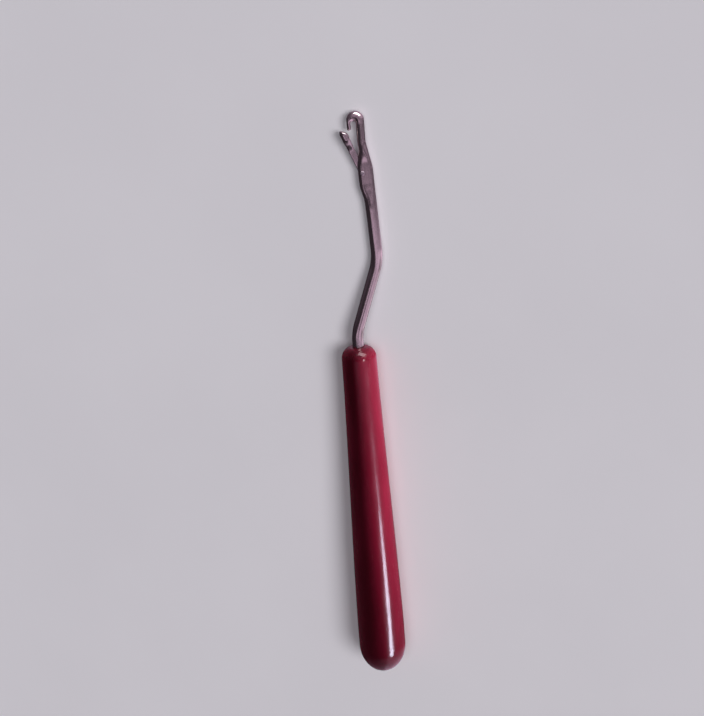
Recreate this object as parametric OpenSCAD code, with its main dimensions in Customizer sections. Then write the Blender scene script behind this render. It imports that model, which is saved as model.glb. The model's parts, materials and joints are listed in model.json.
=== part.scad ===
// Latch hook tool: a moulded handle, a cranked wire shank with a slotted head
// and a hook, a swinging latch and the rivet that it turns on.
// The tool lies on its side as it comes to rest: the handle along its lower
// side, and the cranked wire touching the same surface.
// +Y runs from the butt to the hook, +Z is up.

/* [Handle] */
// Length of the handle from its butt to its front face
handle_len = 100.2; // [90:0.1:110]
// Radius of the handle at its fullest place, near the butt
grip_r = 6.78; // [6.2:0.01:7.5]
// Radius of the handle just behind its front shoulder
neck_r = 4.80; // [4.2:0.01:5.4]
// Length of the round tail end
tail_len = 8.4; // [7:0.1:10]
// Radius of the small flat land in the middle of the butt
land_r = 1.6; // [1:0.1:2.5]

/* [Shank] */
// Radius of the wire
wire_r = 1.55; // [1.4:0.01:1.65]
// Length of the tang inside the handle
tang_len = 27; // [18:1:40]
// Angle of the crank to the handle's axis
crank_deg = 19.5; // [15:0.5:23]
// Angle by which the upper shank leans back
return_deg = 2.3; // [1:0.1:4]
// Sideways reach of the crank, where its two straight runs would meet
crank_reach = 7.1; // [6:0.1:8]
// Bend radius of the first bend, at the handle
bend1_r = 14; // [10:1:16]
// Bend radius of the second bend, at the elbow
bend2_r = 16; // [10:1:18]

/* [Latch] */
// Angle of the latch to the handle's axis, as it lies
latch_dir = 22; // [17:0.5:60]
// Thickness of the latch's stem
latch_t = 0.70; // [0.6:0.01:0.74]
// Width of the slot that it swings in
slot_w = 0.90; // [0.85:0.01:1]
// Radius of the rivet's shaft
rivet_r = 0.40; // [0.35:0.01:0.45]
// Radial play of the latch on the rivet
latch_play = 0.04; // [0.02:0.01:0.08]

/* [Hidden] */
$fn = 96;

// ---------------------------------------------------------------- the wire
// Plan coordinates: X across (the crank goes to +X, the hook opens to -X),
// Y along the handle from the butt. The wire's axis lies in the plane Z = 0.
bend1_y  = handle_len + 1.5;
corner1  = [0, bend1_y + bend1_r * tan(crank_deg / 2)];
corner2  = [crank_reach, corner1[1] + crank_reach / tan(crank_deg)];
turn2    = crank_deg + return_deg;
cut2     = bend2_r * tan(turn2 / 2);
b1_mid   = [bend1_r, bend1_y];
b1_end   = b1_mid + bend1_r * [-cos(crank_deg), sin(crank_deg)];
b2_start = corner2 - cut2 * [sin(crank_deg), cos(crank_deg)];
b2_mid   = b2_start + bend2_r * [-cos(crank_deg), sin(crank_deg)];
b2_end   = b2_mid + bend2_r * [cos(return_deg), sin(return_deg)];

// ---------------------------------------------------------------- the head
head_y   = corner2[1] + 24.7;      // where the wire starts to taper
head_x   = corner2[0] - (head_y - corner2[1]) * tan(return_deg);
neck_rad = 1.10;                   // wire radius in the neck below the hook
lean_deg = 7.4;                    // lean of the tapering piece
knee_r   = 8;                      // bend radius at both of its ends
k1_mid   = [head_x, head_y] + knee_r * [-cos(return_deg), -sin(return_deg)];
k1_end   = k1_mid + knee_r * [cos(lean_deg), sin(lean_deg)];
taper    = 6.2;                    // length of the tapering piece
k2_start = k1_end + taper * [-sin(lean_deg), cos(lean_deg)];
k2_mid   = k2_start + knee_r * [cos(lean_deg), sin(lean_deg)];
k2_end   = k2_mid + knee_r * [-1, 0];
crown    = [k2_end[0] - 1.2, k2_end[1] + 5.15];   // middle of the hook's bow
bow_r    = 1.2;                    // from there to the middle of the metal
bow_z    = 1.14;                   // half the metal's thickness in the bow
throat_w = 1.28;
throat_x = k2_end[0] - neck_rad - throat_w / 2 - 0.06;
tip_r    = 0.47;
tip      = [throat_x - throat_w / 2 - tip_r - 0.12, crown[1] - 2.2];

// ---------------------------------------------------------------- the latch
pivot    = [head_x - 1.29, head_y - 0.9];
ear_r    = 1.25;                   // rounding of the cheeks around the rivet
flat_z   = 1.12;                   // half the thickness across the cheeks
cutter_r = 8;                      // the slot's ends run out in the cutter's curve
latch_len = 12.4;                  // rivet to the spoon's tip

// ---------------------------------------------------------------- the handle
front_y  = handle_len - 3.1;       // start of the front shoulder
belly_y  = 14;                     // station of the fullest place
function ease(t) = 0.55 * t + 0.45 * t * t * (3 - 2 * t);
tail_a   = acos(land_r / grip_r);  // the tail's ellipse stops at the land
tail_s   = tail_len * sin(tail_a);
handle_outline = concat(
    [[0, 0]],
    [for (i = [0:17]) let(a = tail_a * (1 - i / 18))
        [grip_r * cos(a), tail_s - tail_len * sin(a)]],
    [[grip_r, tail_s]],
    [for (i = [0:20]) let(t = 1 - i / 20)
        [neck_r + (grip_r - neck_r) * ease(t), front_y - (front_y - belly_y) * t]],
    [for (i = [1:10]) let(a = i * 9)
        [neck_r - 2.9 * (1 - cos(a)), front_y + 3.1 * sin(a)]],
    [[0, handle_len]]);

// ---------------------------------------------------------------- how it lies
// Pitch: the handle rests on its belly and on its front shoulder.
rest_slope = max([for (p = handle_outline) if (p[1] < 70) (p[0] - neck_r) / (front_y - p[1])]);
pitch  = atan(rest_slope);
lift   = (neck_r + rest_slope * front_y) * cos(pitch);   // axis height at the butt
// Roll: it turns over until the cranked wire touches as well.
elbow  = [for (a = [-crank_deg:0.5:return_deg]) b2_mid + bend2_r * [cos(a), sin(a)]];
upper  = [for (y = [b2_end[1]:0.5:pivot[1] - 6.2])
             [corner2[0] - (y - corner2[1]) * tan(return_deg), y]];
roll   = asin(min([for (p = concat(elbow, upper))
             (lift - p[1] * sin(pitch) - wire_r) / (p[0] * cos(pitch))]));
// Middle of the whole tool's outline, seen from above
mid_x  = (max([for (p = elbow) p[0]]) * cos(roll) + wire_r - grip_r) / 2;
low_y  = -land_r * sin(pitch);
high_y = crown[1] * cos(pitch) - crown[0] * sin(roll) * sin(pitch) + bow_r + bow_z;
mid_y  = (low_y + high_y) / 2;

module lay()
    translate([-mid_x, -mid_y, lift]) rotate([-pitch, 0, 0]) rotate([0, roll, 0])
        children();

// ---------------------------------------------------------------- helpers
// Straight round bar in the plane, from p for a length, at an angle to +Y.
// It reaches a little way into the bends at its two ends.
module bar(p, deg, len, r1, r2 = 0, into = [0, 0])
    translate([p[0], p[1], 0]) rotate([0, 0, -deg]) rotate([-90, 0, 0])
        translate([0, 0, -into[0]])
            cylinder(h = len + into[0] + into[1], r1 = r1, r2 = r2 > 0 ? r2 : r1);

// Bent round bar: part of a ring about c, between two angles. A bend is a
// hair thicker than the straight runs that enter it.
module bend(c, ring_r, from, to, r)
    translate([c[0], c[1], 0]) rotate([0, 0, from])
        rotate_extrude(angle = to - from) translate([ring_r, 0]) circle(r = r + 0.012);

module ball(p, r) translate([p[0], p[1], 0]) sphere(r = r);

// ---------------------------------------------------------------- handle
// The tang's own shape, which is also the shape of the hole in the handle
module tang() {
    bar([0, handle_len - tang_len], 0, tang_len + 1.5, wire_r, into = [0, 0.35]);
    // two pairs of wings pressed out of the wire stop it turning
    for (y = [handle_len - tang_len + 4, handle_len - tang_len + 13])
        intersection() {
            bar([0, y], 0, 5, 2.2);
            translate([-2.5, y, -0.6]) cube([5, 5, 1.2]);
        }
}

module handle()
    color([0.50, 0.04, 0.13])
    lay() difference() {
        rotate([-90, 0, 0]) rotate_extrude() polygon(handle_outline);
        tang();
    }

// ---------------------------------------------------------------- shank
module hook_end() {
    // the bow is thick and rounded at its rim
    translate([crown[0], crown[1], 0]) rotate_extrude(angle = 180)
        union() {
            translate([0, -bow_z]) square([bow_r, 2 * bow_z]);
            translate([bow_r, 0]) circle(r = bow_z);
        }
    translate([crown[0] - bow_r, crown[1] - 0.9, -1]) cube([2 * bow_r, 1.2, 2]);
    // the short arm that points back, with its round tip
    ball([crown[0] - bow_r, crown[1]], neck_rad);
    a = atan2(tip[0] - (crown[0] - bow_r), tip[1] - crown[1]);
    n = norm(tip - [crown[0] - bow_r, crown[1]]);
    s = [sin(a), cos(a)];
    bar([crown[0] - bow_r, crown[1]] + 0.5 * s, a, n - 0.5, 0.93, tip_r - 0.03);
    ball(tip, tip_r);
}

// Cheeks that swell out of the wire on the hook's open side
module ears()
    translate([pivot[0], pivot[1], 0]) rotate([0, 0, return_deg]) rotate([-90, 0, 0])
        rotate_extrude()
            polygon([[0, -8.2], [0.2, -8.2], [ear_r, -3.2], [ear_r, 2.0], [0.2, 6.6], [0, 6.6]]);

// What is pressed flat on both sides of the head
module side_flats()
    for (m = [0, 1]) mirror([0, 0, m])
        translate([pivot[0] - 6, pivot[1], 0]) rotate([90, 0, 90])
            linear_extrude(height = 12)
                polygon([[-6.5, 1.60], [-2.6, flat_z], [2.4, flat_z], [6.5, 1.60],
                         [6.5, 3], [-6.5, 3]]);

module shank()
    color([0.72, 0.70, 0.71])
    lay() difference() {
        union() {
            tang();
            bend(b1_mid, bend1_r, 180 - crank_deg, 180, wire_r);
            bar(b1_end, crank_deg, norm(b2_start - b1_end), wire_r, into = [0.35, 0.35]);
            bend(b2_mid, bend2_r, -crank_deg, return_deg, wire_r);
            bar(b2_end, -return_deg, norm([head_x, head_y] - b2_end), wire_r, into = [0.35, 0.3]);
            bend(k1_mid, knee_r, return_deg, lean_deg, wire_r);
            bar(k1_end, -lean_deg, taper, wire_r, neck_rad, [0.2, 0.3]);
            bend(k2_mid, knee_r, 180, 180 + lean_deg, neck_rad);
            bar(k2_end, 0, crown[1] - k2_end[1], neck_rad, into = [0.3, 0.25]);
            ears();
            hook_end();
        }
        side_flats();
        // the throat, with its round end
        translate([throat_x, crown[1] - 0.9, -3]) cylinder(h = 6, r = throat_w / 2);
        translate([throat_x - throat_w / 2, crown[1] - 4.4, -3]) cube([throat_w, 3.5, 6]);
        // the slot that a disc cuts for the latch
        translate([pivot[0], pivot[1], -slot_w / 2]) linear_extrude(height = slot_w)
            union() {
                translate([1.22 - cutter_r, -3.0]) circle(r = cutter_r);
                translate([1.22 - cutter_r, 2.2]) circle(r = cutter_r);
                translate([-4, -3.0]) square([5.2, 5.2]);
            }
        // the rivet's hole through both cheeks
        translate([pivot[0], pivot[1], -3]) cylinder(h = 6, r = rivet_r);
    }

// ---------------------------------------------------------------- latch
module latch()
    color([0.80, 0.78, 0.79])
    lay() translate([pivot[0], pivot[1], 0]) rotate([0, 0, latch_dir])
    difference() {
        union() {
            // eye and stem, stamped from strip
            translate([0, 0, -latch_t / 2]) linear_extrude(height = latch_t)
                union() {
                    circle(r = 1.0);
                    polygon([[-0.80, 0.5], [0.80, 0.5], [0.92, 3.5], [0.92, 9.4], [-0.80, 9.4]]);
                }
            // spoon
            intersection() {
                translate([0.1, 0, 0]) rotate([-90, 0, 0]) rotate_extrude()
                    polygon([[0, 7.2], [0.36, 7.2], [0.80, 8.0], [1.04, 8.7], [1.12, 9.5],
                             [1.12, 11.2], [1.05, 11.65], [0.88, 12.05], [0.62, 12.3],
                             [0.3, latch_len], [0, latch_len]]);
                translate([0, 0, -2]) linear_extrude(height = 4)
                    polygon([[-0.95, 7], [0.93, 7], [0.93, 10.1], [0.55, 11.0],
                             [-0.10, 11.9], [-0.35, 12.8], [-0.95, 12.8]]);
            }
        }
        // hollow of the spoon, open at its end for the hook's tip
        translate([0.33, 0, 0]) rotate([-90, 0, 0]) rotate_extrude()
            polygon([[0, 9.0], [0.35, 9.1], [0.62, 9.4], [0.80, 9.9], [0.80, 14], [0, 14]]);
        // eye
        translate([0, 0, -2]) cylinder(h = 4, r = rivet_r + latch_play);
    }

// ---------------------------------------------------------------- rivet
module latch_rivet()
    color([0.60, 0.58, 0.59])
    lay() translate([pivot[0], pivot[1], 0]) {
        translate([0, 0, -flat_z]) cylinder(h = 2 * flat_z, r = rivet_r);
        for (m = [0, 1]) mirror([0, 0, m])
            translate([0, 0, flat_z]) {
                cylinder(h = 0.08, r = 0.58);
                translate([0, 0, 0.08]) cylinder(h = 0.10, r1 = 0.58, r2 = 0.34);
            }
    }

handle();
shank();
latch();
latch_rivet();
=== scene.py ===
import json
import math

import bmesh
import bpy
import numpy as np
from mathutils import Matrix, Vector

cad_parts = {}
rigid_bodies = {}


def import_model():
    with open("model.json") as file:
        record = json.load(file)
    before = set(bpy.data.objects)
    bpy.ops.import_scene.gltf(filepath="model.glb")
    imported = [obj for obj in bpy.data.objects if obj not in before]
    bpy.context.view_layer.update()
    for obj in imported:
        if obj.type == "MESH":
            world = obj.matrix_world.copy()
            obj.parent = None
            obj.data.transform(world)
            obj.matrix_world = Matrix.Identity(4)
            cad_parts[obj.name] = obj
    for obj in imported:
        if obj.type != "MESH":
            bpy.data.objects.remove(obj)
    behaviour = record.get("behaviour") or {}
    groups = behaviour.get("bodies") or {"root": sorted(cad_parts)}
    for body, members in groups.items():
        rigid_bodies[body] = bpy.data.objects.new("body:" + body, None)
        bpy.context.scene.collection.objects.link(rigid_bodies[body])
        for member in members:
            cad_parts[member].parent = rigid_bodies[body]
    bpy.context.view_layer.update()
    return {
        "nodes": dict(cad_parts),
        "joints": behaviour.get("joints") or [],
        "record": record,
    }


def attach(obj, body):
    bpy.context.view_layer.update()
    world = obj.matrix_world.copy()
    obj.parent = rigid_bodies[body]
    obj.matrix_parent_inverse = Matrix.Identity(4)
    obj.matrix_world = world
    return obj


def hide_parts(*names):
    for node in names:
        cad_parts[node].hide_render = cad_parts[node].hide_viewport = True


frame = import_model()
record = frame["record"]

# ------------------------------------------------------------------ the frame
# Plan coordinates, in millimetres: X across (the crank goes to +X and the hook
# opens to -X), Y along the handle from the butt, Z square to the hook's plane.
# Where the plan lies in the row frame is read from the record's own mounts.
mounts = {m["name"]: m for m in record["mounts"]}
pivot_joint = frame["joints"][0]
PLAN_Z = Vector(pivot_joint["axis"]).normalized()
PLAN_Y = -Vector(mounts["butt_land"]["axis"])
PLAN_Y = (PLAN_Y - PLAN_Z * PLAN_Y.dot(PLAN_Z)).normalized()
PLAN_X = PLAN_Y.cross(PLAN_Z).normalized()
PLAN_O = Vector(mounts["butt_land"]["pos_m"])
BASIS = np.array([PLAN_X, PLAN_Y, PLAN_Z])          # rows are the plan's axes


def lay(points):
    """Plan millimetres to row-frame metres."""
    return np.asarray(points, float) @ BASIS * 0.001 + np.array(PLAN_O)


def plan_of(point):
    return (np.array(point, float) - np.array(PLAN_O)) @ BASIS.T * 1000.0


# ------------------------------------------------------------------ sizes, mm
HANDLE_LEN, GRIP_R, NECK_R, TAIL_LEN, LAND_R = 100.2, 6.78, 4.80, 8.4, 1.6
WIRE_R, TANG_LEN = 1.55, 27.0
CRANK, RETURN = math.radians(19.5), math.radians(2.3)
CRANK_REACH, BEND1_R, BEND2_R = 7.1, 14.0, 16.0
LATCH_DIR, LATCH_T, SLOT_W = math.radians(22.0), 0.70, 0.90
RIVET_R, LATCH_PLAY = 0.40, 0.04
NECK_ROD, LEAN, KNEE_R, TAPER = 1.10, math.radians(7.4), 8.0, 6.2
FLAT_Z, CUTTER_R, EAR_R, LATCH_LEN = 1.12, 8.0, 1.25, 12.4

bend1_y = HANDLE_LEN + 1.5
corner1 = np.array([0.0, bend1_y + BEND1_R * math.tan(CRANK / 2)])
corner2 = np.array([CRANK_REACH, corner1[1] + CRANK_REACH / math.tan(CRANK)])
cut2 = BEND2_R * math.tan((CRANK + RETURN) / 2)
b1_mid = np.array([BEND1_R, bend1_y])
b1_end = b1_mid + BEND1_R * np.array([-math.cos(CRANK), math.sin(CRANK)])
b2_start = corner2 - cut2 * np.array([math.sin(CRANK), math.cos(CRANK)])
b2_mid = b2_start + BEND2_R * np.array([-math.cos(CRANK), math.sin(CRANK)])
b2_end = b2_mid + BEND2_R * np.array([math.cos(RETURN), math.sin(RETURN)])
head_y = corner2[1] + 24.7
head = np.array([corner2[0] - (head_y - corner2[1]) * math.tan(RETURN), head_y])
k1_mid = head - KNEE_R * np.array([math.cos(RETURN), math.sin(RETURN)])
k1_end = k1_mid + KNEE_R * np.array([math.cos(LEAN), math.sin(LEAN)])
k2_start = k1_end + TAPER * np.array([-math.sin(LEAN), math.cos(LEAN)])
k2_mid = k2_start + KNEE_R * np.array([math.cos(LEAN), math.sin(LEAN)])
k2_end = k2_mid - np.array([KNEE_R, 0.0])
crown = np.array([k2_end[0] - 1.2, k2_end[1] + 5.15])
THROAT_R = 0.66
throat = np.array([k2_end[0] - NECK_ROD - 0.64 - 0.06, crown[1] - 0.9])
pivot = np.array([head[0] - 1.29, head_y - 0.9])


# ------------------------------------------------------------------ numbers
def step(a, b, x):
    t = np.clip((np.asarray(x, float) - a) / (b - a), 0, 1)
    return t * t * (3 - 2 * t)


def smooth_max(a, b, k):
    h = np.clip(0.5 + 0.5 * (a - b) / k, 0, 1)
    return b + (a - b) * h + k * h * (1 - h)


def smooth_min(a, b, k):
    return -smooth_max(-np.asarray(a), -np.asarray(b), k)


def bezier(p0, p1, p2, t):
    p0, p1, p2 = (np.asarray(p, float) for p in (p0, p1, p2))
    t = np.asarray(t, float)[:, None]
    return (1 - t) ** 2 * p0 + 2 * t * (1 - t) * p1 + t ** 2 * p2


# ------------------------------------------------------------------ meshes
def make_mesh(name, points, faces, attributes=None, sharp=52):
    """A smooth-shaded mesh object from plan millimetres, with point attributes."""
    me = bpy.data.meshes.new(name)
    me.from_pydata(lay(points).tolist(), [], faces)
    me.validate()
    for key, values in {"plan": points, **(attributes or {})}.items():
        values = np.asarray(values, np.float32)
        if values.ndim == 1:
            values = np.stack([values, np.zeros_like(values), np.zeros_like(values)], 1)
        layer = me.attributes.new(key, "FLOAT_VECTOR", "POINT")
        layer.data.foreach_set("vector", values.ravel())
    bm = bmesh.new()
    bm.from_mesh(me)
    bmesh.ops.remove_doubles(bm, verts=bm.verts, dist=2e-7)
    bmesh.ops.dissolve_degenerate(bm, edges=bm.edges, dist=1e-7)
    bmesh.ops.recalc_face_normals(bm, faces=bm.faces)
    bm.to_mesh(me)
    bm.free()
    for p in me.polygons:
        p.use_smooth = True
    me.set_sharp_from_angle(angle=math.radians(sharp))
    ob = bpy.data.objects.new(name, me)
    bpy.context.scene.collection.objects.link(ob)
    return ob


def skin(rings, start="fan", end="fan"):
    """Quads between closed rings, with their ends closed by a fan to a middle point."""
    count, n = len(rings), len(rings[0])
    points = np.concatenate(rings)
    faces = []
    for i in range(count - 1):
        a, b = i * n, (i + 1) * n
        for j in range(n):
            k = (j + 1) % n
            faces.append((a + j, a + k, b + k, b + j))
    extra = []
    for which, base, flip in ((start, 0, True), (end, (count - 1) * n, False)):
        if which == "fan":
            middle = len(points) + len(extra)
            extra.append(points[base:base + n].mean(0))
            for j in range(n):
                k = (j + 1) % n
                tri = (base + j, base + k, middle)
                faces.append(tri[::-1] if flip else tri)
    if extra:
        points = np.concatenate([points, np.array(extra)])
    return points, faces


def lathe(profile, angles, radial=None):
    """Rings round +Y from (radius, y) pairs. Both ends lie on the axis."""
    rings = []
    for r, y in profile[1:-1]:
        rr = r + (radial(r, y, angles) if radial else 0)
        rings.append(np.stack([rr * np.cos(angles), np.full_like(angles, y), rr * np.sin(angles)], 1))
    n = len(angles)
    points = np.concatenate(rings + [np.array([[0, profile[0][1], 0], [0, profile[-1][1], 0]])])
    faces = []
    for i in range(len(rings) - 1):
        for j in range(n):
            k = (j + 1) % n
            faces.append((i * n + j, i * n + k, (i + 1) * n + k, (i + 1) * n + j))
    first, last = len(points) - 2, len(points) - 1
    for j in range(n):
        k = (j + 1) % n
        faces.append((j, k, first))
        faces.append(((len(rings) - 1) * n + k, (len(rings) - 1) * n + j, last))
    return points, faces


def drill(ob, at, radius, height, segments=56):
    """Cuts a round hole square to the plan through a closed mesh."""
    me = bpy.data.meshes.new("drill")
    bm = bmesh.new()
    bmesh.ops.create_cone(bm, cap_ends=True, segments=segments, radius1=radius * 0.001,
                          radius2=radius * 0.001, depth=height * 0.001)
    bm.to_mesh(me)
    bm.free()
    tool = bpy.data.objects.new("drill", me)
    bpy.context.scene.collection.objects.link(tool)
    rot = Matrix((PLAN_X, PLAN_Y, PLAN_Z)).transposed().to_4x4()
    tool.matrix_world = Matrix.Translation(Vector(lay([[at[0], at[1], 0]])[0])) @ rot
    cut = ob.modifiers.new("hole", "BOOLEAN")
    cut.operation, cut.solver, cut.object = "DIFFERENCE", "EXACT", tool
    bpy.context.view_layer.update()
    made = bpy.data.meshes.new_from_object(ob.evaluated_get(bpy.context.evaluated_depsgraph_get()))
    ob.modifiers.clear()
    old, ob.data = ob.data, made
    bpy.data.meshes.remove(old)
    bpy.data.objects.remove(tool)
    made.name = ob.name
    made.set_sharp_from_angle(angle=math.radians(40))
    return ob


# ------------------------------------------------------------------ handle
def handle_piece():
    tail_a = math.acos(LAND_R / GRIP_R)
    tail_s = TAIL_LEN * math.sin(tail_a)
    front_y, belly_y = HANDLE_LEN - 3.1, 14.0
    grip = GRIP_R - 0.012
    profile = [(0, HANDLE_LEN - TANG_LEN - 0.02), (1.2, HANDLE_LEN - TANG_LEN - 0.02),
               (1.56, HANDLE_LEN - TANG_LEN + 0.1)]
    profile += [(1.558, y) for y in np.linspace(HANDLE_LEN - TANG_LEN + 2, HANDLE_LEN - 0.30, 10)]
    # the plastic is rounded a little where the wire comes out of it
    profile += [(1.562, 99.99), (1.585, 100.06), (1.63, 100.11), (1.70, 100.138), (1.80, 100.15)]
    for a in np.radians(np.linspace(82, 0, 30)):
        r = NECK_R - 2.9 * (1 - math.cos(a))
        profile.append((r, front_y + 3.1 * math.sin(a)))
    for t in np.linspace(0, 1, 90)[1:]:
        e = 0.55 * t + 0.45 * t * t * (3 - 2 * t)
        profile.append((NECK_R + (grip - NECK_R) * e, front_y - (front_y - belly_y) * t))
    profile += [(grip, y) for y in np.linspace(belly_y, tail_s, 8)[1:-1]]
    for a in np.linspace(0, tail_a, 40):
        profile.append((grip * math.cos(a), max(0.002, tail_s - TAIL_LEN * math.sin(a))))
    # the butt's land, with the round mark of the gate in it
    profile += [(1.50, 0.002), (1.36, 0.006), (1.24, 0.05), (1.16, 0.11), (0.80, 0.125), (0.52, 0.12),
                (0.44, 0.06), (0.36, 0.03), (0.18, 0.045), (0, 0.05)]

    # the two halves of the mould meet in the hook's plane, at angles 0 and 180
    lines = [0.0, math.pi]
    base = list(np.linspace(0, 2 * math.pi, 96, endpoint=False))
    near = [c + d for c in lines for d in np.radians([-3.0, -2.2, -1.5, -1.0, -0.6, -0.25, 0.25, 0.6, 1.0, 1.5, 2.2, 3.0])]
    angles = np.array(sorted({round(a % (2 * math.pi), 6) for a in
                              [b for b in base if all(abs((b - c + math.pi) % (2 * math.pi) - math.pi) > math.radians(3.3) for c in lines)] + near + lines}))

    def seam(r, y, a):
        if r < 1.7 or y < 0.3:
            return 0 * a
        out = 0 * a
        for c in lines:
            d = ((a - c + math.pi) % (2 * math.pi) - math.pi) * r
            out = out + 0.030 * np.exp(-(d / 0.085) ** 2) - 0.010 * np.exp(-(d / 0.30) ** 2)
        return out * step(0.3, 2.5, y)

    points, faces = lathe(profile, angles, seam)
    r = np.hypot(points[:, 0], points[:, 2])
    y = points[:, 1]
    # where the tool is handled and stored most the gloss is worn: shoulder, butt and belly
    wear = (0.9 * np.exp(-((y - 98.6) / 1.1) ** 2) * step(2.6, 4.4, r)
            + 0.9 * np.exp(-((y - 1.0) / 1.6) ** 2) + 0.25 * np.exp(-((y - 30) / 26) ** 2))
    # marks the bore's wall, which the material colours near black as painted shade in the hole
    bore_painted_shade = ((r < 1.61) & (y > 70) & (y < 100.05)).astype(float)
    return make_mesh("handle_moulding", points, faces,
                     {"wear": np.stack([wear, bore_painted_shade, np.zeros_like(wear)], 1)}, sharp=60)


# ------------------------------------------------------------------ wire
N_BACK, N_SLOT = 61, 21
N_RING = N_BACK + N_SLOT


def wire_path():
    """Stations of the wire's axis up to the hook: centre, direction, radius."""
    rows = []

    def line(p, q, gap, r0, r1=None, ends=True):
        p, q = np.array(p, float), np.array(q, float)
        length = float(np.linalg.norm(q - p))
        n = max(2, int(round(length / gap)) + 1)
        a = math.atan2(q[0] - p[0], q[1] - p[1])
        for i, t in enumerate(np.linspace(0, 1, n)):
            if i == 0 and rows:
                continue
            r = r0 if r1 is None else r0 + (r1 - r0) * t
            rows.append((p + (q - p) * t, a, r))

    def arc(c, radius, a0, a1, gap, r):
        n = max(3, int(round(abs(a1 - a0) * radius / gap)) + 1)
        turn = 1 if a1 > a0 else -1
        for a in np.linspace(a0, a1, n)[1:]:
            p = c + radius * np.array([math.cos(a), math.sin(a)])
            t = turn * np.array([-math.sin(a), math.cos(a)])
            rows.append((p, math.atan2(t[0], t[1]), r))

    y0 = HANDLE_LEN - TANG_LEN
    line((0, y0), (0, bend1_y), 0.6, WIRE_R)
    arc(b1_mid, BEND1_R, math.pi, math.pi - CRANK, 0.33, WIRE_R)
    line(b1_end, b2_start, 0.55, WIRE_R)
    arc(b2_mid, BEND2_R, -CRANK, RETURN, 0.33, WIRE_R)
    low = b2_end + (head - b2_end) * 0.46
    line(b2_end, low, 0.55, WIRE_R)
    line(low, head, 0.17, WIRE_R)
    arc(k1_mid, KNEE_R, RETURN, LEAN, 0.17, WIRE_R)
    line(k1_end, k2_start, 0.16, WIRE_R, NECK_ROD)
    arc(k2_mid, KNEE_R, math.pi + LEAN, math.pi, 0.17, NECK_ROD)
    line(k2_end, (k2_end[0], throat[1]), 0.19, NECK_ROD)
    return rows


def slot_depth_x(y):
    """Plan x, from the pivot, of the slot's bed at a height above the pivot."""
    y = float(y)
    if y < -3.0:
        d = min(abs(y + 3.0), CUTTER_R - 1e-6)
    elif y > 2.2:
        d = min(y - 2.2, CUTTER_R - 1e-6)
    else:
        d = 0.0
    return 1.22 - CUTTER_R + math.sqrt(CUTTER_R ** 2 - d * d)


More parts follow.
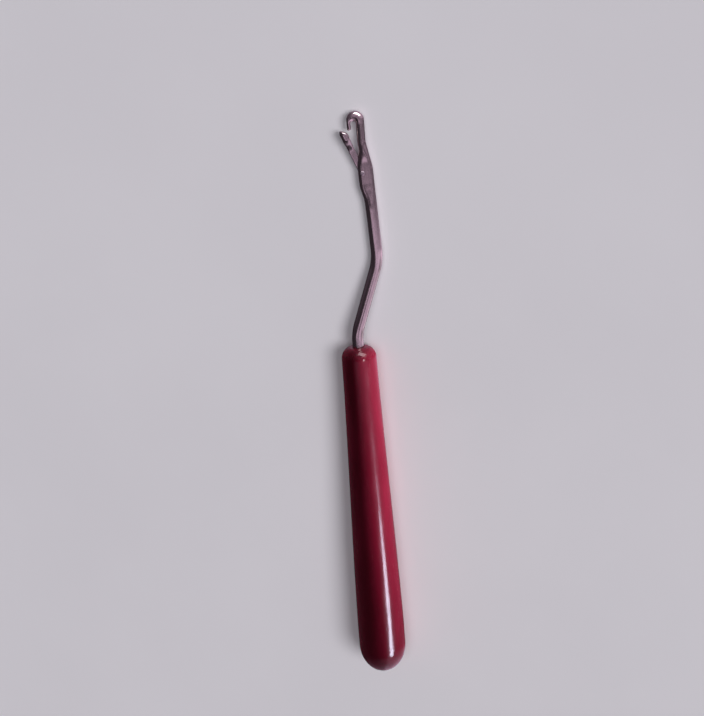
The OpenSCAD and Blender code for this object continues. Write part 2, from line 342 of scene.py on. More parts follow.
def shank_piece():
    rows = wire_path()
    s = np.concatenate([[0], np.cumsum([np.linalg.norm(rows[i + 1][0] - rows[i][0]) for i in range(len(rows) - 1)])])
    # soften the radius where the straight and bent runs meet
    radius = np.array([r[2] for r in rows])
    angle = np.array([r[1] for r in rows])
    def blur(v, width):
        out = np.empty_like(v)
        for i in range(len(v)):
            w = np.exp(-((s - s[i]) / width) ** 2)
            w[s < s[i] - 3 * width] = 0
            w[s > s[i] + 3 * width] = 0
            # weights by spacing, so that dense stations don't count for more
            gap = np.gradient(s)
            out[i] = (v * w * gap).sum() / (w * gap).sum()
        return out
    radius = blur(radius, 0.55)
    slot_end = (-7.7, 7.35)
    rings, tags, along = [], [], []
    for i, (c, _, _) in enumerate(rows):
        a, r = angle[i], radius[i]
        t = np.array([math.sin(a), math.cos(a)])
        n = np.array([-t[1], t[0]])
        y = c[1]
        ear_dir = np.array([-math.sin(RETURN), math.cos(RETURN)])
        ye = float((c - pivot) @ ear_dir)
        w_left, w_right, zr = r, r, r
        # pressed wings on the tang
        if y < HANDLE_LEN:
            for base in (HANDLE_LEN - TANG_LEN + 4, HANDLE_LEN - TANG_LEN + 13):
                k = float(step(base - 0.6, base + 0.4, y) * (1 - step(base + 4.6, base + 5.6, y)))
                w_left += (2.18 - w_left) * k
                w_right += (2.18 - w_right) * k
                zr += (0.95 - zr) * k
            zr = zr * float(step(HANDLE_LEN - TANG_LEN - 0.5, HANDLE_LEN - TANG_LEN + 0.5, y)) ** 0.3 if y < HANDLE_LEN - TANG_LEN + 0.5 else zr
        if -10 < ye < 9:
            ear = 0.15 + (EAR_R - 0.15) * float(step(-8.9, -2.9, ye) * (1 - step(1.7, 7.3, ye)))
            ear_at = float((pivot + ye * ear_dir - c) @ n) + ear
            w_left = float(smooth_max(w_left, ear_at, 0.30))
        flat, soft, crowned = 3.0, 0.14, 0.0
        if -11.5 < ye < 9.5:
            out_by = max(float(step(-2.7, -11.5, ye)) if ye < 0 else 0.0, float(step(2.6, 9.5, ye)) if ye > 0 else 0.0)
            flat = FLAT_Z + 0.62 * out_by + 0.60 * out_by ** 3
            soft, crowned = 0.14 + 0.55 * out_by, 0.075 * (1 - out_by)
        # the slot
        hw = SLOT_W / 2
        bed = float((np.array([pivot[0] + slot_depth_x(ye), pivot[1] + ye]) - c) @ n)
        depth = w_left - bed if -8.2 < ye < 8.2 else 0.0
        at_edge = w_left * math.sqrt(max(0.0, 1 - (hw / zr) ** 2))
        wall = max(at_edge - bed, 0.0)
        bevel = min(0.075, 0.3 * wall + 0.004)
        corner = min(0.12, 0.3 * wall + 0.004)
        k_slot = float(step(0.0, 0.16, depth)) if depth > 0 else 0.0
        outside = 0.0
        if ye < slot_end[0]:
            outside = slot_end[0] - ye
        elif ye > slot_end[1]:
            outside = ye - slot_end[1]
        spread = float(step(0.1, 3.2, outside))
        phi_k = math.asin(min(0.95, (hw + bevel) / zr)) if k_slot > 0 else math.asin(min(0.95, hw / zr))
        even_k = math.pi * (N_SLOT + 1) / N_RING
        phi_k_eff = phi_k + (even_k - phi_k) * spread
        back = np.linspace(phi_k_eff, 2 * math.pi - phi_k_eff, N_BACK)
        front = np.linspace(-phi_k_eff, phi_k_eff, N_SLOT + 2)[1:-1]

        def surface(phi):
            w = np.where(np.cos(phi) > 0, w_left, w_right)
            aa, zz = w * np.cos(phi), zr * np.sin(phi)
            across = (aa - (w_left - w_right) / 2) / ((w_left + w_right) / 2)
            zz = np.sign(zz) * smooth_min(np.abs(zz), flat + crowned * (1 - across ** 2), soft)
            return np.stack([aa, zz], 1)

        pts_back = surface(back)
        pts_front = surface(front)
        if k_slot > 0:
            p0 = np.array([w_left * math.cos(phi_k), zr * math.sin(phi_k)])
            p1 = np.array([at_edge + 0.15 * bevel, hw])
            p2 = np.array([max(at_edge - bevel, bed + corner), hw])
            p3 = np.array([bed + corner, hw])
            pc = np.array([bed, hw])
            p4 = np.array([bed, hw - corner])
            mouth = bezier(p0, p1, p2, [0.33, 0.67, 1.0])
            walls = p2 + (p3 - p2) * np.linspace(0, 1, 5)[1:-1, None]
            turn = bezier(p3, pc, p4, [0.0, 0.5, 1.0])
            side = np.concatenate([mouth, walls, turn])           # from the +z mouth inwards
            bed_pts = np.stack([np.full(3, bed), np.array([-1, 0, 1]) * (hw - corner) / 2], 1)
            low_side = side * [1, -1]
            cut = np.concatenate([low_side, bed_pts, side[::-1]])
            pts_front = pts_front + (cut - pts_front) * k_slot
        ring2 = np.concatenate([pts_back, pts_front])
        ring = np.stack([c[0] + n[0] * ring2[:, 0], c[1] + n[1] * ring2[:, 0], ring2[:, 1]], 1)
        rings.append(ring)
        deep = np.zeros(N_RING)
        if k_slot > 0:
            deep[N_BACK:] = np.clip((at_edge - ring2[N_BACK:, 0]) / 1.0, 0, 1) * k_slot
        tags.append(deep)
        around = np.concatenate([back, front + 2 * math.pi])
        along.append(np.stack([np.full(N_RING, s[i]), around * WIRE_R, np.zeros(N_RING)], 1))

    # the bow: rings stretched between an inner and an outer line
    total = 0.9 + math.pi * 2.32 + 0.9

    def outer(f):
        d = f * total
        if d < 0.9:
            return np.array([6.2826 + 0.02 * d / 0.9 - 6.3026 + crown[0] + 2.32, throat[1] + d])
        d -= 0.9
        if d < math.pi * 2.32:
            a = d / 2.32
            return crown + 2.32 * np.array([math.cos(a), math.sin(a)])
        d -= math.pi * 2.32
        return np.array([crown[0] - 2.32, crown[1] - d])

    def inner(f):
        a = math.pi * f
        r = THROAT_R + (k2_end[0] - NECK_ROD - throat[0] - THROAT_R) * (1 - float(step(0.0, 0.35, f)))
        return throat + r * np.array([math.cos(a), math.sin(a)])

    even = np.concatenate([np.linspace(math.pi * (N_SLOT + 1) / N_RING, 2 * math.pi - math.pi * (N_SLOT + 1) / N_RING, N_BACK),
                           np.linspace(-math.pi * (N_SLOT + 1) / N_RING, math.pi * (N_SLOT + 1) / N_RING, N_SLOT + 2)[1:-1]])
    s_now = s[-1]
    last_mid = rows[-1][0]

    def add(i_pt, o_pt, z):
        nonlocal s_now, last_mid
        mid, half = (i_pt + o_pt) / 2, (i_pt - o_pt) / 2
        s_now += float(np.linalg.norm(mid - last_mid))
        last_mid = mid
        ring = np.stack([mid[0] + half[0] * np.cos(even), mid[1] + half[1] * np.cos(even), z * np.sin(even)], 1)
        rings.append(ring)
        tags.append(np.zeros(N_RING))
        along.append(np.stack([np.full(N_RING, s_now), even * WIRE_R, np.zeros(N_RING)], 1))

    for f in np.linspace(0, 1, 47)[1:]:
        z = NECK_ROD + 0.04 * math.sin(math.pi * min(1, f * 1.25)) - 0.16 * float(step(0.55, 1.0, f))
        add(inner(f), outer(f), z)
    # the short arm, thinning to its round tip
    tip_y, tip_x, tip_r = crown[1] - 2.12, throat[0] - 0.64 - 0.47 - 0.07, 0.54
    start_i, start_o = inner(1.0), outer(1.0)
    for t in np.linspace(0, 1, 12)[1:]:
        y = start_i[1] + (tip_y - start_i[1]) * t
        xi = start_i[0] + (tip_x + tip_r - start_i[0]) * t
        xo = start_o[0] + (tip_x - tip_r - start_o[0]) * t
        z = 0.94 + (0.50 - 0.94) * float(t ** 0.9)
        add(np.array([xi, y]), np.array([xo, y]), z)
    for a in np.radians([12, 24, 36, 48, 59, 69, 78, 85]):
        y = tip_y - tip_r * math.sin(a)
        add(np.array([tip_x + tip_r * math.cos(a), y]), np.array([tip_x - tip_r * math.cos(a), y]), 0.50 * math.cos(a))

    points, faces = skin(rings)
    tag = np.concatenate(tags)
    uv = np.concatenate(along)
    tag = np.concatenate([tag, [0, 0]])
    uv = np.concatenate([uv, uv[:1], uv[-1:]])
    near_handle = np.exp(-np.maximum(points[:, 1] - HANDLE_LEN, 0) / 1.6) * (points[:, 1] > HANDLE_LEN - 1)
    ob = make_mesh("shank_wire", points, faces,
                   {"depth": np.stack([tag, near_handle, np.zeros_like(tag)], 1), "wire": uv}, sharp=48)
    return drill(ob, pivot, RIVET_R, 6.0)


# ------------------------------------------------------------------ latch
def latch_piece():
    """Rings along the latch, from its eye to the spoon's lip."""
    n_out, n_in, n_rim = 52, 31, 4

    def table(rows, y):
        ys, vs = zip(*rows)
        return float(np.interp(y, ys, vs))

    xc = 0.10
    y_list = ([-0.997, -0.985, -0.955, -0.90, -0.82, -0.7, -0.5, -0.25, 0.0, 0.3]
              + list(np.arange(0.6, 7.0, 0.32)) + list(np.arange(7.05, 9.0, 0.13))
              + list(np.arange(9.05, 12.0, 0.09)) + list(np.linspace(12.02, 12.34, 8)))
    rings, inner_tag = [], []
    for y in y_list:
        # left and right edges in the plan
        if y < 0.6:
            edge = math.sqrt(max(1 - min(y, 0.0) ** 2, 0.0)) if y < 0 else 1.0 - 0.18 * float(step(0.0, 0.6, y))
            left, right = -edge, edge
        else:
            left, right = -0.80, 0.80
            left = -0.82 + 0.02 * float(step(0.6, 1.2, y))
            right = 0.82 + 0.10 * float(step(0.6, 3.6, y))
        spoon = float(step(6.5, 9.3, y))
        r_out = table([(7.0, 0.86), (8.0, 0.90), (8.7, 1.04), (9.5, 1.11), (11.2, 1.11), (11.6, 1.06),
                       (11.9, 0.97), (12.15, 0.84), (12.34, 0.66)], y)
        left = left + (max(-0.95, xc - r_out) - left) * spoon
        if y > 11.4:
            left = table([(11.4, -0.95), (11.7, -0.925), (11.95, -0.85), (12.15, -0.74), (12.34, -0.56)], y)
        rim = table([(6.5, 0.92), (8.4, 0.96), (9.2, 1.04), (10.0, 1.10), (10.5, 1.08), (10.8, 1.00), (11.1, 0.86),
                     (11.35, 0.68), (11.6, 0.44), (11.85, 0.16), (12.1, -0.10), (12.34, -0.30)], y)
        right = right + (rim - right) * spoon if y > 6.5 else right
        zt = LATCH_T / 2 + (r_out - LATCH_T / 2) * float(step(6.3, 9.7, y))
        power = 5.0 - 3.0 * float(step(6.4, 8.8, y))       # strip to round
        # hollow: mouth half-width and bed
        open_k = float(step(8.9, 9.9, y))
        z_at_rim = zt
        if y > 7.4:
            z_at_rim = zt * (0.90 if right - 0.05 > xc else max(0.0, 1 - ((right - xc) / r_out) ** 2) ** 0.5)
        mouth = max(0.02, min(0.79, z_at_rim - 0.20))
        bed = right - 0.004 - (right + 0.47) * open_k
        if y > 11.9:
            bed = table([(11.9, -0.47), (12.1, -0.46), (12.34, -0.40)], y)

        # outer contour, u from 0, the +z rim, round the back to 1, the -z rim
        def strip_at(u):
            c, hw = (left + right) / 2, (right - left) / 2
            ang = math.radians(38) + u * (2 * math.pi - 2 * math.radians(38))
            cs, sn = math.cos(ang), math.sin(ang)
            return np.array([c + hw * math.copysign(abs(cs) ** (2 / power), cs),
                             zt * math.copysign(abs(sn) ** (2 / power), sn)])

        def round_at(u):
            reach = right - 0.05 - xc
            if reach <= 0:
                ang0 = math.acos(max(-1, min(1, reach / r_out)))
                ang = ang0 + u * (2 * math.pi - 2 * ang0)
                px, pz = xc + r_out * math.cos(ang), zt * math.sin(ang)
            else:
                # straight cheeks above the round back
                full = 2 * reach + math.pi * r_out
                d = min(u, 1 - u) * full
                if d < reach:
                    t = 1 - d / reach
                    px, pz = xc + reach * t, zt * (1 - 0.10 * t * t)
                else:
                    ang = math.pi / 2 + (d - reach) / r_out
                    px, pz = xc + r_out * math.cos(ang), zt * math.sin(ang)
                pz = pz if u <= 0.5 else -pz
            return np.array([float(smooth_max(px, left, 0.10)), pz])

        def even_out(contour):
            """The contour's points at equal steps along its own length."""
            fine = np.array([contour(u) for u in np.linspace(0, 1, 241)])
            run = np.concatenate([[0], np.cumsum(np.hypot(*np.diff(fine, axis=0).T))])
            at = np.linspace(0, run[-1], n_out)
            return np.stack([np.interp(at, run, fine[:, 0]), np.interp(at, run, fine[:, 1])], 1)

        blend = float(step(6.9, 9.5, y))
        out_pts = even_out(strip_at)
        if blend > 0:
            out_pts = out_pts * (1 - blend) + even_out(round_at) * blend
        # inner contour from the -z rim through the bed to the +z rim
        end_low, end_high = out_pts[-1], out_pts[0]
        psi = np.linspace(0, math.pi, n_in)
        width = min(mouth, abs(end_high[1]) - 0.03 if abs(end_high[1]) > 0.06 else abs(end_high[1]) * 0.5)
        ins = np.stack([right - (right - bed) * np.sin(psi) ** 0.85, -width * np.cos(psi)], 1)
        flat_line = np.stack([np.full(n_in, right), np.linspace(-width, width, n_in)], 1)
        ins = flat_line + (ins - flat_line) * open_k
        # rounded rims between the two contours
        rim_low = bezier(end_low, [right + 0.012, (end_low[1] - width) / 2 if False else (end_low[1] + ins[0][1]) / 2], ins[0], np.linspace(0, 1, n_rim + 2)[1:-1])
        rim_high = bezier(ins[-1], [right + 0.012, (end_high[1] + ins[-1][1]) / 2], end_high, np.linspace(0, 1, n_rim + 2)[1:-1])
        ring2 = np.concatenate([out_pts, rim_low, ins, rim_high])
        tag = np.concatenate([np.zeros(n_out + n_rim), np.sin(psi) * open_k, np.zeros(n_rim)])
        rings.append(np.stack([ring2[:, 0], np.full(len(ring2), y), ring2[:, 1]], 1))
        inner_tag.append(tag)
    # the lip's end is rounded: its outer and inner lines draw together
    last = rings[-1]
    u_out, u_in = np.linspace(0, 1, n_out), np.linspace(1, 0, n_in)
    out_line, in_line = last[:n_out], last[n_out + n_rim:n_out + n_rim + n_in]

    def middle_at(u):
        o = np.stack([np.interp(u, u_out, out_line[:, k]) for k in range(3)], 1)
        i = np.stack([np.interp(u, u_in[::-1], in_line[::-1, k]) for k in range(3)], 1)
        return (o + i) / 2

    place = np.concatenate([u_out, np.ones(n_rim), u_in, np.zeros(n_rim)])
    centre = middle_at(place)
    for k, dy in ((0.90, 0.018), (0.68, 0.034), (0.38, 0.045)):
        ring = centre + (last - centre) * k
        ring[:, 1] = last[:, 1] + dy
        rings.append(ring)
        inner_tag.append(inner_tag[-1])
    n = len(rings[0])
    points, faces = skin(rings, start="fan", end=None)
    tag = np.concatenate(inner_tag + [[0]])
    # close the lip: its outer line against its inner line
    base = (len(rings) - 1) * n
    outer_idx = [base + j for j in range(n_out)]
    inner_idx = [base + (n_out + n_rim + (n_in - 1 - j)) for j in range(n_in)]      # also from +z to -z
    rim_h = [base + n_out + n_rim + n_in + j for j in range(n_rim)][::-1]
    rim_l = [base + n_out + j for j in range(n_rim)]
    i = j = 0
    while i < n_out - 1 or j < n_in - 1:
        if j >= n_in - 1 or (i < n_out - 1 and (i + 1) / (n_out - 1) <= (j + 1) / (n_in - 1)):
            faces.append((outer_idx[i], outer_idx[i + 1], inner_idx[j]))
            i += 1
        else:
            faces.append((outer_idx[i], inner_idx[j + 1], inner_idx[j]))
            j += 1
    faces.append((outer_idx[0], inner_idx[0], *[base + n_out + n_rim + n_in + j for j in range(n_rim)]))
    faces.append((outer_idx[-1], *rim_l, inner_idx[-1]))
    ca, sa = math.cos(LATCH_DIR), math.sin(LATCH_DIR)
    placed = np.stack([pivot[0] + ca * points[:, 0] - sa * points[:, 1],
                       pivot[1] + sa * points[:, 0] + ca * points[:, 1], points[:, 2]], 1)
    ob = make_mesh("latch_spoon", placed, faces,
                   {"depth": np.stack([tag, 0 * tag, 0 * tag], 1),
                    "wire": np.stack([points[:, 1], points[:, 0] + 2 * points[:, 2], 0 * tag], 1)}, sharp=50)
    return drill(ob, pivot, RIVET_R + LATCH_PLAY, 4.0)


# ------------------------------------------------------------------ rivet
def rivet_piece():
    half = [(0.0, 1.272), (0.12, 1.268), (0.22, 1.272), (0.30, 1.284), (0.36, 1.287), (0.44, 1.272),
            (0.51, 1.240), (0.555, 1.200), (0.575, 1.165), (0.572, 1.135), (0.55, 1.112), (0.50, 1.100),
            (0.41, 1.095), (0.395, 1.05), (0.395, 0.60), (0.395, 0.30)]
    profile = half + [(r, -z) for r, z in half[::-1]]
    angles = np.linspace(0, 2 * math.pi, 64, endpoint=False)
    rng = np.random.default_rng(7)
    phase = rng.uniform(0, 2 * math.pi, 4)

    def hammered(r, y, a):
        if abs(y) < 1.09:
            return 0 * a
        k = 0.010 * step(0.3, 0.56, r)
        return k * (np.sin(3 * a + phase[0]) + 0.6 * np.sin(5 * a + phase[1]) + 0.4 * np.sin(8 * a + phase[2]))

    points, faces = lathe(profile, angles, hammered)
    # the lathe turns about Y: stand it up along the plan's Z
    points = np.stack([pivot[0] + points[:, 0], pivot[1] - points[:, 2], points[:, 1]], 1)
    return make_mesh("latch_rivet_pin", points, faces, {}, sharp=60)


# ------------------------------------------------------------------ materials
class Nodes:
    def __init__(self, name, tree=None):
        if tree is not None:
            self.tree = tree
            return
        self.mat = bpy.data.materials.new(name)
        self.mat.use_nodes = True
        self.tree = self.mat.node_tree
        self.tree.nodes.clear()
        self.out = self.tree.nodes.new("ShaderNodeOutputMaterial")
        self.shader = self.tree.nodes.new("ShaderNodeBsdfPrincipled")
        self.tree.links.new(self.shader.outputs["BSDF"], self.out.inputs["Surface"])

    def link(self, a, b):
        self.tree.links.new(a, b)

    def put(self, socket, value):
        if hasattr(value, "is_linked") or isinstance(value, bpy.types.NodeSocket):
            self.link(value, socket)
        else:
            socket.default_value = value

    def attribute(self, name):
        n = self.tree.nodes.new("ShaderNodeAttribute")
        n.attribute_type, n.attribute_name = "GEOMETRY", name
        return n.outputs["Vector"]

    def split(self, vector):
        n = self.tree.nodes.new("ShaderNodeSeparateXYZ")
        self.link(vector, n.inputs[0])
        return n.outputs

    def scaled(self, vector, scale, move=(0, 0, 0)):
        n = self.tree.nodes.new("ShaderNodeMapping")
        self.link(vector, n.inputs["Vector"])
        n.inputs["Scale"].default_value = scale
        n.inputs["Location"].default_value = move
        return n.outputs[0]

    def noise(self, vector, scale, detail=3.0, rough=0.55, distort=0.0):
        n = self.tree.nodes.new("ShaderNodeTexNoise")
        n.noise_dimensions = "3D"
        self.link(vector, n.inputs["Vector"])
        n.inputs["Scale"].default_value = scale
        n.inputs["Detail"].default_value = detail
        n.inputs["Roughness"].default_value = rough
        n.inputs["Distortion"].default_value = distort
        return n.outputs["Fac"]

    def cells(self, vector, scale):
        n = self.tree.nodes.new("ShaderNodeTexVoronoi")
        n.feature = "F1"
        self.link(vector, n.inputs["Vector"])
        n.inputs["Scale"].default_value = scale
        return n.outputs["Distance"]

    def span(self, value, a, b, lo, hi):
        n = self.tree.nodes.new("ShaderNodeMapRange")
        n.interpolation_type = "SMOOTHSTEP"
        self.put(n.inputs["Value"], value)
        n.inputs["From Min"].default_value, n.inputs["From Max"].default_value = a, b
        n.inputs["To Min"].default_value, n.inputs["To Max"].default_value = lo, hi
        return n.outputs["Result"]

    def math(self, op, a, b=0.0, c=None):
        n = self.tree.nodes.new("ShaderNodeMath")
        n.operation = op
        self.put(n.inputs[0], a)
        self.put(n.inputs[1], b)
        if c is not None:
            self.put(n.inputs[2], c)
        return n.outputs[0]

    def mix(self, fac, a, b):
        n = self.tree.nodes.new("ShaderNodeMix")
        n.data_type = "RGBA"
        self.put(n.inputs["Factor"], fac)
        self.put(n.inputs[6], a)
        self.put(n.inputs[7], b)
        return n.outputs[2]

    def bump(self, height, distance, strength=1.0, before=None):
        n = self.tree.nodes.new("ShaderNodeBump")
        n.inputs["Strength"].default_value = strength
        n.inputs["Distance"].default_value = distance
        self.link(height, n.inputs["Height"])
        if before is not None:
            self.link(before, n.inputs["Normal"])
        return n.outputs[0]


def handle_material():
    m = Nodes("crimson_moulding")
    plan = m.attribute("plan")
    wear, bore_painted_shade, _ = m.split(m.attribute("wear"))
    # slow clouding of the colour in the melt, drawn out along the flow
    cloud = m.noise(m.scaled(plan, (0.16, 0.035, 0.16)), 1.0, 3, 0.5, 0.6)
    fine = m.noise(m.scaled(plan, (1.1, 0.28, 1.1), (3, 1, 7)), 1.0, 4, 0.6)
    deep, bright = (0.340, 0.0085, 0.0380, 1), (0.435, 0.0125, 0.0530, 1)
    colour = m.mix(m.span(cloud, 0.34, 0.68, 0, 1), deep, bright)
    colour = m.mix(m.span(fine, 0.45, 0.75, 0, 0.22), colour, (0.48, 0.020, 0.066, 1))
    # dust and rubbed plastic where the gloss has gone
    rub = m.noise(m.scaled(plan, (2.6, 0.9, 2.6), (5, 5, 5)), 1.0, 5, 0.7)
    rubbed = m.math("MULTIPLY", wear, m.span(rub, 0.42, 0.66, 0, 1))
    colour = m.mix(m.math("MULTIPLY", rubbed, 0.26), colour, (0.52, 0.045, 0.085, 1))
    specks = m.cells(m.scaled(plan, (1.9, 1.3, 1.9)), 1.0)
    speck = m.math("MULTIPLY", m.span(specks, 0.030, 0.075, 1, 0), m.span(m.noise(plan, 0.35, 2), 0.5, 0.62, 0, 1))
    colour = m.mix(m.math("MULTIPLY", speck, 0.35), colour, (0.60, 0.30, 0.33, 1))
    # painted shade: the bore's wall, where the wire goes into the plastic, is coloured near black
    colour = m.mix(bore_painted_shade, colour, (0.10, 0.003, 0.008, 1))
    m.link(colour, m.shader.inputs["Base Color"])
    # hairline scratches, mostly along the handle
    hair_a = m.noise(m.scaled(plan, (9.0, 0.16, 9.0), (1, 2, 3)), 1.0, 2, 0.5, 0.15)
    hair_b = m.noise(m.scaled(plan, (6.0, 0.5, 1.2), (9, 4, 1)), 1.0, 2, 0.5, 0.9)
    hair = m.math("MAXIMUM", m.span(hair_a, 0.63, 0.70, 0, 1), m.span(hair_b, 0.68, 0.73, 0, 0.8))
    smear = m.noise(m.scaled(plan, (0.45, 0.16, 0.45), (2, 8, 5)), 1.0, 4, 0.6, 1.2)
    rough = m.span(smear, 0.36, 0.70, 0.135, 0.215)
    rough = m.math("ADD", rough, m.math("MULTIPLY", hair, 0.10))
    rough = m.math("ADD", rough, m.math("MULTIPLY", rubbed, 0.20))
    rough = m.math("ADD", rough, m.math("MULTIPLY", speck, 0.25))
    m.link(rough, m.shader.inputs["Roughness"])
    # gentle unevenness of the moulded skin under the scratches
    sink = m.noise(m.scaled(plan, (0.30, 0.10, 0.30), (4, 4, 4)), 1.0, 2, 0.4)
    skin_bump = m.bump(sink, 0.00011, 0.55)
    peel = m.noise(m.scaled(plan, (2.2, 1.5, 2.2)), 1.0, 2, 0.5)
    skin_bump = m.bump(peel, 0.0000045, 0.8, skin_bump)
    lines = m.math("MULTIPLY", hair, -1.0)
    skin_bump = m.bump(lines, 0.0000028, 0.8, skin_bump)
    m.link(skin_bump, m.shader.inputs["Normal"])
    m.shader.inputs["IOR"].default_value = 1.50
    m.shader.inputs["Specular IOR Level"].default_value = 0.31
    m.shader.inputs["Coat Weight"].default_value = 0.10
    m.shader.inputs["Coat Roughness"].default_value = 0.06
    return m.mat


def nickel_material(name, tint, low, high, line_scale=1.0, lines=1.0):
    """Bright plate over drawn or stamped steel."""
    m = Nodes(name)
    plan = m.attribute("plan")
    wire = m.attribute("wire")
    deep, near, _ = m.split(m.attribute("depth"))
    patch = m.noise(m.scaled(plan, (0.55, 0.20, 0.55)), 1.0, 4, 0.6, 0.8)
    dark = tuple(c * 0.90 for c in tint) + (1,)
    light = tuple(min(1.0, c * 1.04) for c in tint) + (1,)
    colour = m.mix(m.span(patch, 0.32, 0.70, 0, 1), dark, light)
    # thin places of the plate, faintly brown
    thin = m.span(m.noise(m.scaled(plan, (1.7, 0.8, 1.7), (6, 2, 8)), 1.0, 5, 0.65), 0.60, 0.74, 0, 1)
    colour = m.mix(m.math("MULTIPLY", thin, 0.35), colour, (tint[0] * 0.62, tint[1] * 0.50, tint[2] * 0.46, 1))
    # grime and painted shade: the slot's bed and walls, the spoon's hollow and the wire's root at the handle are
    # darkened patchily towards near black
    grime_and_painted_shade = m.math("MAXIMUM", m.math("MULTIPLY", deep, 0.75), m.math("MULTIPLY", near, 0.45))
    grime_and_painted_shade = m.math("MULTIPLY", grime_and_painted_shade, m.span(m.noise(m.scaled(plan, (3, 2, 3)), 1.0, 4, 0.6), 0.30, 0.62, 0.45, 1))
    colour = m.mix(grime_and_painted_shade, colour, (0.085, 0.070, 0.072, 1))
    m.link(colour, m.shader.inputs["Base Color"])
    m.shader.inputs["Metallic"].default_value = 1.0
    # drawing lines run with the metal
    draw = m.noise(m.scaled(wire, (0.10 * line_scale, 7.0, 1.0)), 1.0, 3, 0.6)
    draw2 = m.noise(m.scaled(wire, (0.35 * line_scale, 16.0, 1.0), (3, 3, 3)), 1.0, 2, 0.5)
    nick = m.span(m.noise(m.scaled(wire, (1.3, 4.4, 1.0), (8, 1, 2)), 1.0, 2, 0.5, 0.2), 0.62, 0.78, 0, 1)
    rough = m.span(draw, 0.30, 0.72, low, high)
    rough = m.math("ADD", rough, m.math("MULTIPLY", thin, 0.08))
    rough = m.math("ADD", rough, m.math("MULTIPLY", nick, 0.07))
    rough = m.math("ADD", rough, m.math("MULTIPLY", grime_and_painted_shade, 0.22))
    m.link(rough, m.shader.inputs["Roughness"])
    b = m.bump(draw, 0.0000060 * lines, 0.7)
    b = m.bump(draw2, 0.0000022 * lines, 0.7, b)
    b = m.bump(m.math("MULTIPLY", nick, -1.0), 0.0000040, 0.7, b)
    m.link(b, m.shader.inputs["Normal"])
    return m.mat


def rivet_material():
    m = Nodes("peened_steel")
    plan = m.attribute("plan")
    patch = m.noise(m.scaled(plan, (2.5, 2.5, 2.5)), 1.0, 4, 0.6)
    colour = m.mix(m.span(patch, 0.3, 0.7, 0, 1), (0.50, 0.445, 0.470, 1), (0.62, 0.555, 0.585, 1))
    pits = m.cells(m.scaled(plan, (7, 7, 7)), 1.0)
    pit = m.span(pits, 0.05, 0.30, 1, 0)
    colour = m.mix(m.math("MULTIPLY", pit, 0.3), colour, (0.26, 0.22, 0.22, 1))
    m.link(colour, m.shader.inputs["Base Color"])
    m.shader.inputs["Metallic"].default_value = 1.0
    m.link(m.span(patch, 0.3, 0.7, 0.26, 0.42), m.shader.inputs["Roughness"])
    b = m.bump(pits, 0.00004, 0.6)
    b = m.bump(m.noise(m.scaled(plan, (20, 20, 20)), 1.0, 3, 0.6), 0.000008, 0.5, b)
    m.link(b, m.shader.inputs["Normal"])
    return m.mat


# ------------------------------------------------------------------ build
def finish_piece(ob, material, body, node):
    ob.data.materials.clear()
    ob.data.materials.append(material)
    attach(ob, body)
    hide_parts(node)
    return ob


crimson = handle_material()
nickel = nickel_material("nickel_plate_wire", (0.670, 0.585, 0.575), 0.11, 0.21)
stamped = nickel_material("nickel_plate_latch", (0.670, 0.595, 0.585), 0.14, 0.26, 1.6, 1.4)
peened = rivet_material()

finish_piece(handle_piece(), crimson, "tool", "handle")
finish_piece(shank_piece(), nickel, "tool", "shank")
finish_piece(latch_piece(), stamped, "latch", "latch")
finish_piece(rivet_piece(), peened, "tool", "latch_rivet")
for node, material in (("handle", crimson), ("shank", nickel), ("latch", stamped), ("latch_rivet", peened)):
    for k in range(len(frame["nodes"][node].material_slots)):
        frame["nodes"][node].material_slots[k].material = material

# ------------------------------------------------------------------ stage
def floor_material():
    m = Nodes("pale_floor")
    n = m.tree.nodes.new("ShaderNodeTexCoord")
    mottled = m.noise(m.scaled(n.outputs["Object"], (14, 14, 14)), 1.0, 4, 0.5)
    m.link(m.mix(m.span(mottled, 0.3, 0.7, 0, 1), (0.675, 0.655, 0.695, 1), (0.695, 0.675, 0.715, 1)), m.shader.inputs["Base Color"])
    m.shader.inputs["Roughness"].default_value = 0.85
    m.shader.inputs["Specular IOR Level"].default_value = 0.2
    return m.mat


def floor_piece():
    me = bpy.data.meshes.new("floor")
    bm = bmesh.new()
    bmesh.ops.create_grid(bm, x_segments=8, y_segments=8, size=3.0)
    for v in bm.verts:
        v.co.z = -0.00002
    bm.to_mesh(me)
    bm.free()
    ob = bpy.data.objects.new("floor", me)
    bpy.context.scene.collection.objects.link(ob)
    ob.data.materials.append(floor_material())
    return ob


ground = floor_piece()
ground.visible_glossy = False
handle_objects = [bpy.data.objects["handle_moulding"], frame["nodes"]["handle"]]
wire_objects = [bpy.data.objects[n] for n in ("shank_wire", "latch_spoon", "latch_rivet_pin")]
wire_objects += [frame["nodes"][n] for n in ("shank", "latch", "latch_rivet")]

# ------------------------------------------------------------------ camera
# The camera looks at the hook's plane, 17.5 degrees up from its square, from the
# hook's side. The frame is 704 by 716 pixels with a focal length of 1300 pixels.
FOCAL_PX, WIDE_PX, HIGH_PX = 1300.0, 704.0, 716.0
TILT, DISTANCE = math.radians(17.5), 358.5
aim = np.array([-1.986, 97.070, 0.0])
right = np.array([0.99683, -0.0795, 0.0])
up_plan = np.array([0.0795, 0.99683, 0.0])
back = math.sin(TILT) * up_plan + math.cos(TILT) * np.array([0, 0, 1.0])
up = math.cos(TILT) * up_plan - math.sin(TILT) * np.array([0, 0, 1.0])
cam_data = bpy.data.cameras.new("camera")
cam = bpy.data.objects.new("camera", cam_data)
bpy.context.scene.collection.objects.link(cam)
turn = Matrix([Vector(v @ BASIS).normalized() for v in (right, up, back)]).transposed()
cam.matrix_world = Matrix.Translation(Vector(lay([aim + DISTANCE * back])[0])) @ turn.to_4x4()
cam_data.sensor_width = 36.0
cam_data.lens = FOCAL_PX / max(WIDE_PX, HIGH_PX) * 36.0
cam_data.clip_start, cam_data.clip_end = 0.01, 20.0
bpy.context.scene.camera = cam


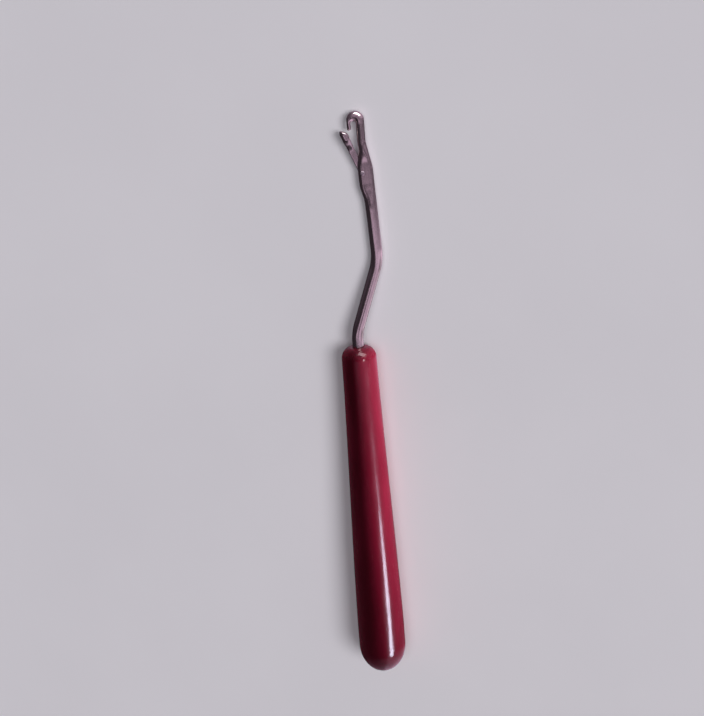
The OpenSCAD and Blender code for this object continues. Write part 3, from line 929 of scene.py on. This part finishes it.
# ------------------------------------------------------------------ light
def toward(az, axial, far):
    """A place seen from the tool: az degrees to the right of the hook plane's
    square, the sine axial toward the butt, far metres away."""
    a, c = math.radians(az), math.sqrt(1 - axial * axial)
    d = math.sin(a) * c * PLAN_X - axial * PLAN_Y + math.cos(a) * c * PLAN_Z
    return d * far


def area(name, at, look, size, watts, colour, size_y=None, up="Y"):
    data = bpy.data.lights.new(name, "AREA")
    data.shape = "RECTANGLE"
    data.size, data.size_y = size, size_y or size
    data.energy, data.color = watts, colour
    ob = bpy.data.objects.new(name, data)
    bpy.context.scene.collection.objects.link(ob)
    ob.location = at
    ob.rotation_mode = "QUATERNION"
    ob.rotation_quaternion = (Vector(look) - Vector(at)).to_track_quat("-Z", up)
    ob.visible_camera = False
    return ob


def lights_only(light, *objects):
    group = bpy.data.collections.new(light.name + "_lit")
    for o in objects:
        group.objects.link(o)
    light.light_linking.receiver_collection = group


tool_objects = handle_objects + wire_objects
# a low key, close to the handle's front half on the right, gives the form its light
# and dark sides and fades towards the butt
key_at, key_look = lay([[90.2, 84.0, 32.8], [0.0, 84.0, 0.0]])
key = area("key", key_at, key_look, 0.026, 0.065, (1.0, 0.965, 0.985), 0.046)
key.visible_glossy = False
lights_only(key, *tool_objects)
key_stops = bpy.data.collections.new("key_stops")
for o in tool_objects:
    key_stops.objects.link(o)
key.light_linking.blocker_collection = key_stops
# a soft light high overhead for the floor, and a broad one from the right for the shadow
top = area("top", (0.30, 0.36, 2.85), (0, 0, 0), 1.65, 22.0, (0.98, 0.97, 1.0))
lights_only(top, ground)
window = bpy.data.lights.new("window", "SUN")
window.energy, window.angle, window.color = 2.1, math.radians(26), (1.0, 0.985, 1.0)
window = bpy.data.objects.new("window", window)
bpy.context.scene.collection.objects.link(window)
window.rotation_mode = "QUATERNION"
window.rotation_quaternion = Vector((-0.66, -0.10, -0.75)).to_track_quat("-Z", "Y")
lights_only(window, ground)
# the strip that the handle mirrors, low on its right
strip = area("strip", toward(44, 0.560, 0.85), (0, -0.045, 0.006), 0.30, 5.1, (0.85, 0.90, 1.10), 0.20)
strip.visible_diffuse = False
lights_only(strip, *handle_objects)
# a light beyond the hook for the crown and the handle's shoulder
spark = area("spark", toward(36, -0.84, 0.8), (0, 0.07, 0.006), 0.70, 6.4, (1.0, 0.95, 0.975), 0.40)
spark.visible_diffuse = False
# a small light square to the handle, which its gloss shows from above and from the sides
over = area("over", toward(30, 0.0, 0.85), (0, -0.02, 0.006), 0.19, 1.05, (0.98, 0.96, 1.0), 0.07)
over.visible_diffuse = False
lights_only(over, *handle_objects)
# the crank's right side mirrors the pale surface beyond it
beyond = area("beyond", toward(122, 0.56, 0.50), (0.003, 0.035, 0.003), 0.55, 0.22, (1.0, 0.88, 0.98), 0.34)
beyond.visible_diffuse = False
lights_only(beyond, *wire_objects)
beyond.light_linking.blocker_collection = key_stops


def studio():
    """What the bright parts mirror: darker to the left, lavender to the right."""
    world = bpy.data.worlds.new("studio")
    world.use_nodes = True
    m = Nodes("studio", world.node_tree)
    m.tree.nodes.clear()
    out = m.tree.nodes.new("ShaderNodeOutputWorld")
    here = m.tree.nodes.new("ShaderNodeTexCoord").outputs["Generated"]

    def along(axis):
        n = m.tree.nodes.new("ShaderNodeVectorMath")
        n.operation = "DOT_PRODUCT"
        m.link(here, n.inputs[0])
        n.inputs[1].default_value = tuple(axis)
        return n.outputs["Value"]

    across, lengthwise, square = along(PLAN_X), along(PLAN_Y), along(PLAN_Z)
    az = m.math("ARCTAN2", across, square)
    ax = m.math("MULTIPLY", lengthwise, -1.0)
    edge = m.math("ADD", m.span(ax, 0.160, 0.205, -0.12, -0.60), m.span(ax, 0.270, 0.315, 0.0, 0.95))
    side = m.span(m.math("SUBTRACT", az, edge), -0.07, 0.10, 0, 1)
    level = m.math("SUBTRACT", m.span(ax, 0.142, 0.228, 0.030, 0.73), m.span(ax, 0.30, 0.42, 0, 0.13))
    # the low end of the run, where the flats turn into the round wire, mirrors a lighter patch
    level = m.math("ADD", level, m.math("MULTIPLY", m.span(ax, 0.015, 0.058, 0.0, 0.52), m.span(ax, 0.070, 0.110, 1.0, 0.0)))
    fade = m.math("ADD", m.span(ax, 0.28, 0.36, 0.0, 0.62), m.span(ax, 0.39, 0.49, 0.0, 0.26))
    fade = m.math("MULTIPLY", fade, m.span(ax, 0.505, 0.540, 1.0, 0.0))
    low_right = m.math("MULTIPLY", fade, m.span(az, 0.90, 1.50, 0.0, 1.0))
    level = m.math("MULTIPLY", level, m.math("SUBTRACT", 1.0, low_right))
    lit = m.math("ADD", m.math("MULTIPLY", side, level), 0.038)
    # the room beyond both ends of the tool is lighter
    ends = m.math("ADD", m.span(ax, -0.16, -0.01, 0.44, 0.0), m.span(ax, 0.68, 0.80, 0.0, 0.44))
    lit = m.math("ADD", lit, m.math("MULTIPLY", ends, m.span(across, -0.75, 0.3, 0.12, 1.0)))

    def back(colour, strength):
        n = m.tree.nodes.new("ShaderNodeBackground")
        n.inputs["Color"].default_value = colour
        m.put(n.inputs["Strength"], strength)
        return n.outputs[0]

    def pick(fac, a, b):
        n = m.tree.nodes.new("ShaderNodeMixShader")
        m.link(fac, n.inputs[0])
        m.link(a, n.inputs[1])
        m.link(b, n.inputs[2])
        return n.outputs[0]

    path = m.tree.nodes.new("ShaderNodeLightPath")
    mirrored = back((0.960, 0.735, 0.970, 1), lit)
    soft = back((0.96, 0.95, 1.0, 1), m.span(across, -0.6, 0.9, 0.025, 0.16))
    seen = back((0.74, 0.72, 0.78, 1), 0.85)
    shader = pick(path.outputs["Is Glossy Ray"], soft, mirrored)
    shader = pick(path.outputs["Is Camera Ray"], shader, seen)
    m.link(shader, out.inputs["Surface"])
    return world


bpy.context.scene.world = studio()
bpy.context.scene.view_settings.view_transform = "Standard"
